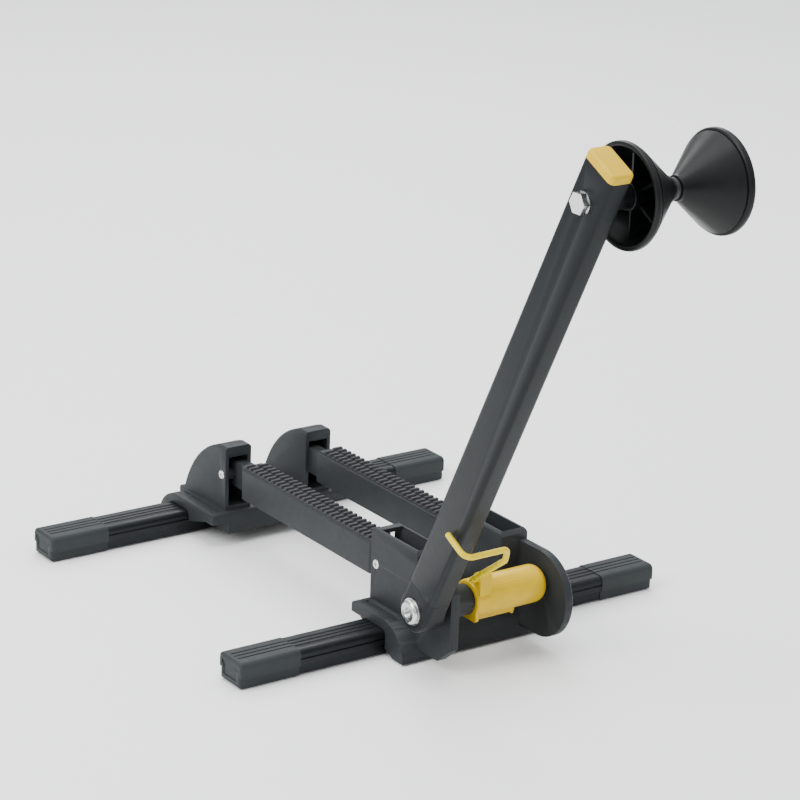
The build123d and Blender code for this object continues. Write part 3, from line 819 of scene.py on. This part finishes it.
# ---- arm ----------------------------------------------------------------------
class FLOORSTAND_OT_arm(bpy.types.Operator):
    """Models the arm tube with rounded corners, and the knuckle it stands on"""
    bl_idname = "floor_stand.arm"
    bl_label = "Folding arm"

    def execute(self, context):
        sizes = context.scene.floor_stand_sizes
        half, top, foot = ARM_HALF, ARM_TOP, ARM_HALF + 3.0
        coat = arm_finish()
        tube = slab("arm_tube_coated", (ARM_X0, -half, foot), (ARM_X1, half, top))
        round_upright(tube, sizes.arm_corner)
        pick("FACE", lambda f: abs(f.normal.z) > 0.9)
        bpy.ops.mesh.delete(type="FACE")
        deselect()
        apply(tube, "SOLIDIFY", thickness=TUBE_WALL * MM, offset=-1.0, use_even_offset=True)
        for x in (ARM_X0, ARM_X1):
            cut(tube, bar("bore", x - 4.0, x + 4.0, 0.0, ARM_REACH, 4.05, 48))
        soften(tube, 0.3 * MM, 2, 50.0)
        tilt(tube)
        place(tube, "arm", "arm_paint", coat, "arm_tube")
        knuckle = bar("arm_pivot_knuckle", ARM_X0, ARM_X1, 0.0, 0.0, half, 96)
        neck = slab("neck", (ARM_X0, -half, 0.0), (ARM_X1, half, foot))
        round_upright(neck, sizes.arm_corner)
        edit(knuckle)
        pick("EDGE", lambda e: abs(run(e).x) < 0.1)
        bpy.ops.mesh.bevel(offset=1.4 * MM, segments=3, affect="EDGES")
        deselect()
        merge(knuckle, neck)
        cut(knuckle, bar("bore", ARM_X0 - 1, ARM_X1 + 1, 0.0, 0.0, 7.42, 64))
        tilt(knuckle)
        place(knuckle, "arm", "arm_paint", coat, "arm_knuckle")
        return {"FINISHED"}


class FLOORSTAND_OT_top_plug(bpy.types.Operator):
    """Models the plug in the top of the arm, with its rounded crown and its spigot"""
    bl_idname = "floor_stand.top_plug"
    bl_label = "Arm top plug"

    def execute(self, context):
        sizes, colours = context.scene.floor_stand_sizes, context.scene.floor_stand_colours
        half, seat, top = ARM_HALF, ARM_TOP, ARM_TOP + sizes.plug / MM
        plug = slab("arm_top_plug", (ARM_X0, -half, seat), (ARM_X1, half, top))
        round_upright(plug, sizes.arm_corner)
        pick("FACE", lambda f: f.normal.z > 0.9)
        bpy.ops.mesh.bevel(offset=2.2 * MM, segments=6, affect="EDGES")
        pick("FACE", lambda f: f.normal.z < -0.9)
        bpy.ops.mesh.inset(thickness=1.9 * MM)
        push((0, 0, -9.0))
        deselect()
        tilt(plug)
        place(plug, "arm", "yellow_plastic", gloss_abs("yellow_abs", colours.pedal), "arm_top_cap")
        return {"FINISHED"}


# ---- cones --------------------------------------------------------------------
class FLOORSTAND_OT_cones(bpy.types.Operator):
    """Spins the section of a hollow tyre cone, adds its webs, and mirrors it to the other side"""
    bl_idname = "floor_stand.cones"
    bl_label = "Tyre cones"

    def execute(self, context):
        sizes, colours = context.scene.floor_stand_sizes, context.scene.floor_stand_colours
        low, high = box_mm("right_roller")
        y, z = CONE_AXIS.y, CONE_AXIS.z
        big, neck, hub = (high.z - low.z) / 2, NECK_RADIUS, HUB_RADIUS
        x0, x1 = low.x, high.x
        flange = x1 - 6.0
        wall = sizes.cone_wall / MM
        slope = (big - 1.6 - neck) / (flange - x0 - 2.0)
        section = [(x0, 6.5), (x0, neck - 1.0), (x0 + 0.4, neck - 0.3), (x0 + 1.0, neck), (x0 + 2.0, neck),
                   (x0 + 4.0, neck + slope * 1.6), (flange - 0.4, neck + slope * (flange - x0 - 2.4)),
                   (flange, big - 1.9), (flange + 0.3, big - 2.4), (flange + 1.1, big - 2.4),
                   (flange + 1.4, big - 1.2), (flange + 1.9, big - 0.4), (flange + 2.7, big),
                   (x1 - 1.2, big), (x1 - 0.4, big - 0.4), (x1, big - 1.2), (x1, big - 2.4),
                   (x1 - 0.4, big - 3.0), (flange + 2.0, big - 3.6),
                   (x0 + 12.0, neck + slope * 10.0 - wall), (x0 + 12.0, hub), (x0 + 33.5, hub),
                   (x0 + 34.0, hub - 0.5), (x0 + 34.0, 6.5)]
        cone = turned("right_tyre_cone", section, y, z, 112)
        tidy(cone)
        webs = sizes.cone_webs
        for i in range(webs):
            turn = 2 * math.pi * i / webs
            foot, tip, back = x0 + 13.0, big - 5.5, x0 + 30.0
            web = drawn("web", [(foot, y - 0.8, z + 8.8), (foot + 1.0, y - 0.8, z + hub + slope * 0.5),
                                (back, y - 0.8, z + tip - 2.0), (back, y - 0.8, z + 8.8)], (0, 1.6, 0))
            web.data.transform(Matrix.Translation(Vector((0, y, z)) * MM) @ Matrix.Rotation(turn, 4, "X")
                               @ Matrix.Translation(Vector((0, -y, -z)) * MM))
            merge(cone, web)
        plastic = moulded_polypropylene("moulded_polypropylene", colours.cone)
        left = copied(cone, "left_tyre_cone", True)
        place(left, "left_cone", "roller_plastic", plastic, "left_roller")
        place(cone, "right_cone", "roller_plastic", plastic, "right_roller")
        return {"FINISHED"}


class FLOORSTAND_OT_axle(bpy.types.Operator):
    """Models the cones' axle bolt with a flanged hexagon head, and its lock nut"""
    bl_idname = "floor_stand.axle"
    bl_label = "Cone axle"

    def execute(self, context):
        low, high = box_mm("roller_axle")
        y, z = CONE_AXIS.y, CONE_AXIS.z
        bolt = bar("cone_axle_bolt", low.x, ARM_X0 - 0.9, y, z, 7.4, 6)
        edit(bolt)
        pick("FACE", lambda f: f.normal.x < -0.9)
        bpy.ops.mesh.inset(thickness=1.1 * MM)
        deselect()
        flange = bar("flange", ARM_X0 - 1.0, ARM_X0 - 0.02, y, z, 7.25, 64)
        merge(bolt, flange)
        merge(bolt, bar("shank", ARM_X0 - 0.5, high.x, y, z, 3.98, 48))
        soften(bolt, 0.45 * MM, 2, 30.0)
        place(bolt, "arm", "bright_steel", zinc(), "roller_axle")
        nut_low, nut_high = box_mm("axle_nut")
        nut = bar("cone_lock_nut", nut_low.x, nut_high.x, y, z, 13.0 / math.sqrt(3), 6)
        cut(nut, bar("bore", nut_low.x - 1, nut_high.x + 1, y, z, 3.98, 48))
        soften(nut, 0.6 * MM, 2, 30.0)
        place(nut, "arm", "bright_steel", zinc(), "axle_nut")
        return {"FINISHED"}


# ---- pedal and wire -----------------------------------------------------------
class FLOORSTAND_OT_pedal(bpy.types.Operator):
    """Rounds the edges of the pedal drum and its lug"""
    bl_idname = "floor_stand.pedal"
    bl_label = "Pedal"

    def execute(self, context):
        pedal = from_frame("pedal", "pedal_drum")
        soften(pedal, 0.6 * MM, 3)
        abs_plastic = gloss_abs("yellow_abs", context.scene.floor_stand_colours.pedal)
        place(pedal, "pedal", "yellow_plastic", abs_plastic, "pedal")
        return {"FINISHED"}


def bent_wire(name, points, bends, radius):
    """A round wire: a circle pushed along each straight run and spun round each bend."""
    points = [Vector(p) for p in points]
    way = (points[1] - points[0]).normalized()
    deselect()
    bpy.ops.mesh.primitive_circle_add(vertices=20, radius=radius * MM, fill_type="NGON",
                                      location=points[0] * MM,
                                      rotation=way.to_track_quat("Z", "Y").to_euler())
    wire = named(name)
    edit(wire)
    bpy.ops.mesh.select_all(action="SELECT")
    here = points[0]
    for i in range(1, len(points)):
        way = (points[i] - points[i - 1]).normalized()
        if i < len(points) - 1:
            onward = (points[i + 1] - points[i]).normalized()
            turn = way.angle(onward)
            back = bends[i - 1] * math.tan(turn / 2)
            stop = points[i] - way * back
            push(stop - here)
            axis = way.cross(onward).normalized()
            centre = stop + axis.cross(way) * bends[i - 1]
            bpy.ops.mesh.spin(steps=max(4, int(math.degrees(turn) / 9)), angle=-turn,
                              center=centre * MM, axis=axis)
            here = points[i] + onward * back
        else:
            push(points[i] - here)
    deselect()
    return wire


class FLOORSTAND_OT_wire_bail(bpy.types.Operator):
    """Bends the wire bail, from its pin in the pedal to its tip beside the arm, and rounds its ends"""
    bl_idname = "floor_stand.wire_bail"
    bl_label = "Wire bail"

    def execute(self, context):
        sizes, colours = context.scene.floor_stand_sizes, context.scene.floor_stand_colours
        y, z = BAIL_PIN.y, BAIL_PIN.z
        low, high = box_mm("wire_bail")
        wire_r = sizes.wire / MM
        side, back, up = low.x + wire_r, low.y + wire_r, z + 43.0
        reach = 23.5
        path = [(high.x, y, z), (-27.0, y, z), (-36.0, back + 3.5, up - 9.5), (-37.0, back, up),
                (side, back, up), (side, back + reach * math.cos(LEAN), up + reach * math.sin(LEAN))]
        wire = bent_wire("wire_bail_dipped", path, [3.5, 4.0, 4.0, 6.5], wire_r)
        edit(wire)
        pick("EDGE", lambda e: len(e.link_faces) == 2 and min(len(f.verts) for f in e.link_faces) == 4
             and max(len(f.verts) for f in e.link_faces) > 4)
        bpy.ops.mesh.bevel(offset=0.9 * MM, segments=3, affect="EDGES")
        deselect()
        place(wire, "bail", "yellow_wire", dipped_vinyl("dipped_vinyl", colours.wire), "wire_bail")
        return {"FINISHED"}


class FLOORSTAND_OT_small_parts(bpy.types.Operator):
    """Gives the bushes, washers, spacers, spring and foot bolts their finishes"""
    bl_idname = "floor_stand.small_parts"
    bl_label = "Small parts"

    def execute(self, context):
        nylon = turned_nylon("natural_nylon", linear("#D9D6CC"))
        for node in ("arm_bush", "left_roller_bush", "right_roller_bush"):
            dress(node, nylon)
        for node in ("arm_spacer", "centre_washer"):
            dress(node, turned_nylon("black_nylon", linear("#17191A")))
        for node in ("axle_spacer", "foot_bolts", "pedal_spring"):
            dress(node, black_oxide())
        dress("axle_washer", zinc())
        return {"FINISHED"}


# ---- stage --------------------------------------------------------------------
class FLOORSTAND_OT_stage(bpy.types.Operator):
    """Adds the pale floor, the soft lights and the camera"""
    bl_idname = "floor_stand.stage"
    bl_label = "Studio stage"

    def execute(self, context):
        floor_colour = context.scene.floor_stand_colours.floor
        deselect()
        bpy.ops.mesh.primitive_plane_add(size=80.0, location=(0, 0, 0))
        floor = named("studio_floor")
        material, tree, shader = finish("studio_floor", Roughness=0.75)
        where = add(tree, "ShaderNodeTexCoord")
        grain = add(tree, "ShaderNodeTexNoise", {"Scale": 1.0 / (120.0 * MM)},
                    {"Vector": where.outputs["Object"]})
        shade = add(tree, "ShaderNodeMix",
                    {"data_type": "RGBA", 6: scaled(floor_colour, 0.98), 7: floor_colour},
                    {0: grain.outputs["Fac"]})
        tree.links.new(shade.outputs[2], shader.inputs["Base Color"])
        floor.data.materials.append(material)
        world = bpy.data.worlds.new("studio")
        context.scene.world = world
        world.use_nodes = True
        sky = world.node_tree.nodes["Background"]      # bright overhead and dimmer at the horizon
        sky.inputs["Color"].default_value = linear("#F6F8FA")
        air = world.node_tree
        sight = add(air, "ShaderNodeTexCoord")
        height = add(air, "ShaderNodeSeparateXYZ", {}, {0: sight.outputs["Generated"]})
        dome = add(air, "ShaderNodeMapRange",
                   {"From Min": 0.0, "From Max": 0.9, "To Min": 0.3, "To Max": 1.9},
                   {"Value": height.outputs["Z"]})
        air.links.new(dome.outputs["Result"], sky.inputs["Strength"])
        for name, spot, size, watts in (("key", (-1.8, 0.1, 1.5), 1.2, 38.0),
                                        ("back", (0.7, 1.6, 1.7), 1.3, 26.0),
                                        ("top", (-0.2, 0.1, 2.3), 1.5, 26.0)):
            deselect()
            bpy.ops.object.light_add(type="AREA", location=spot)
            lamp = context.active_object
            lamp.name = f"{name}_light"
            lamp.data.energy, lamp.data.size = watts, size
            aim = Vector((0.0, 0.0, 0.12)) - Vector(spot)
            lamp.rotation_euler = aim.to_track_quat("-Z", "Y").to_euler()
        bpy.ops.object.camera_add()
        camera = context.active_object
        camera.name = "studio_camera"
        spot = Vector((-1.170, -1.614, 0.849))
        yaw, pitch, roll = math.radians(30.30), math.radians(10.65), math.radians(0.63)
        ahead = Vector((math.sin(yaw) * math.cos(pitch), math.cos(yaw) * math.cos(pitch), -math.sin(pitch)))
        level = Vector((math.cos(yaw), -math.sin(yaw), 0.0))
        up = level.cross(ahead)
        right = level * math.cos(roll) + up * math.sin(roll)
        up = right.cross(ahead)
        first = Matrix((right, up, -ahead)).transposed()
        target = (cad_low + cad_high) / 2 + Vector((-0.021, 0.012, -0.038))
        turn = ahead.rotation_difference(target - spot).to_matrix()
        camera.matrix_world = Matrix.Translation(spot) @ (turn @ first).to_4x4()
        camera.data.sensor_width = 36.0
        camera.data.lens = 136.0
        context.scene.camera = camera
        return {"FINISHED"}


OPERATORS = (
    FLOORSTAND_OT_stage,
    FLOORSTAND_OT_feet,
    FLOORSTAND_OT_end_caps,
    FLOORSTAND_OT_floor_pads,
    FLOORSTAND_OT_rails,
    FLOORSTAND_OT_treads,
    FLOORSTAND_OT_housings,
    FLOORSTAND_OT_rail_screws,
    FLOORSTAND_OT_main_pivot,
    FLOORSTAND_OT_arm,
    FLOORSTAND_OT_top_plug,
    FLOORSTAND_OT_cones,
    FLOORSTAND_OT_axle,
    FLOORSTAND_OT_pedal,
    FLOORSTAND_OT_wire_bail,
    FLOORSTAND_OT_small_parts,
)


class FLOORSTAND_PT_panel(bpy.types.Panel):
    """Lists the stand's pieces and settings"""
    bl_idname = "FLOORSTAND_PT_panel"
    bl_label = "Bicycle Floor Stand"
    bl_space_type = "VIEW_3D"
    bl_region_type = "UI"
    bl_category = "Floor Stand"

    def draw(self, context):
        for group in (context.scene.floor_stand_sizes, context.scene.floor_stand_colours):
            column = self.layout.column(align=True)
            for key in group.bl_rna.properties.keys():
                if key not in ("rna_type", "name"):
                    column.prop(group, key)
        column = self.layout.column(align=True)
        for one in OPERATORS:
            column.operator(one.bl_idname)


CLASSES = (FloorStandSizes, FloorStandColours) + OPERATORS + (FLOORSTAND_PT_panel,)


def register():
    """Registers the classes and hangs the settings on the scene."""
    for one in CLASSES:
        bpy.utils.register_class(one)
    bpy.types.Scene.floor_stand_sizes = bpy.props.PointerProperty(type=FloorStandSizes)
    bpy.types.Scene.floor_stand_colours = bpy.props.PointerProperty(type=FloorStandColours)


def unregister():
    """Takes the settings and classes away again."""
    del bpy.types.Scene.floor_stand_sizes
    del bpy.types.Scene.floor_stand_colours
    for one in reversed(CLASSES):
        bpy.utils.unregister_class(one)


def main():
    """Builds every piece in order."""
    register()
    for one in OPERATORS:
        group, name = one.bl_idname.split(".")
        getattr(getattr(bpy.ops, group), name)()


if __name__ == "__main__":
    main()
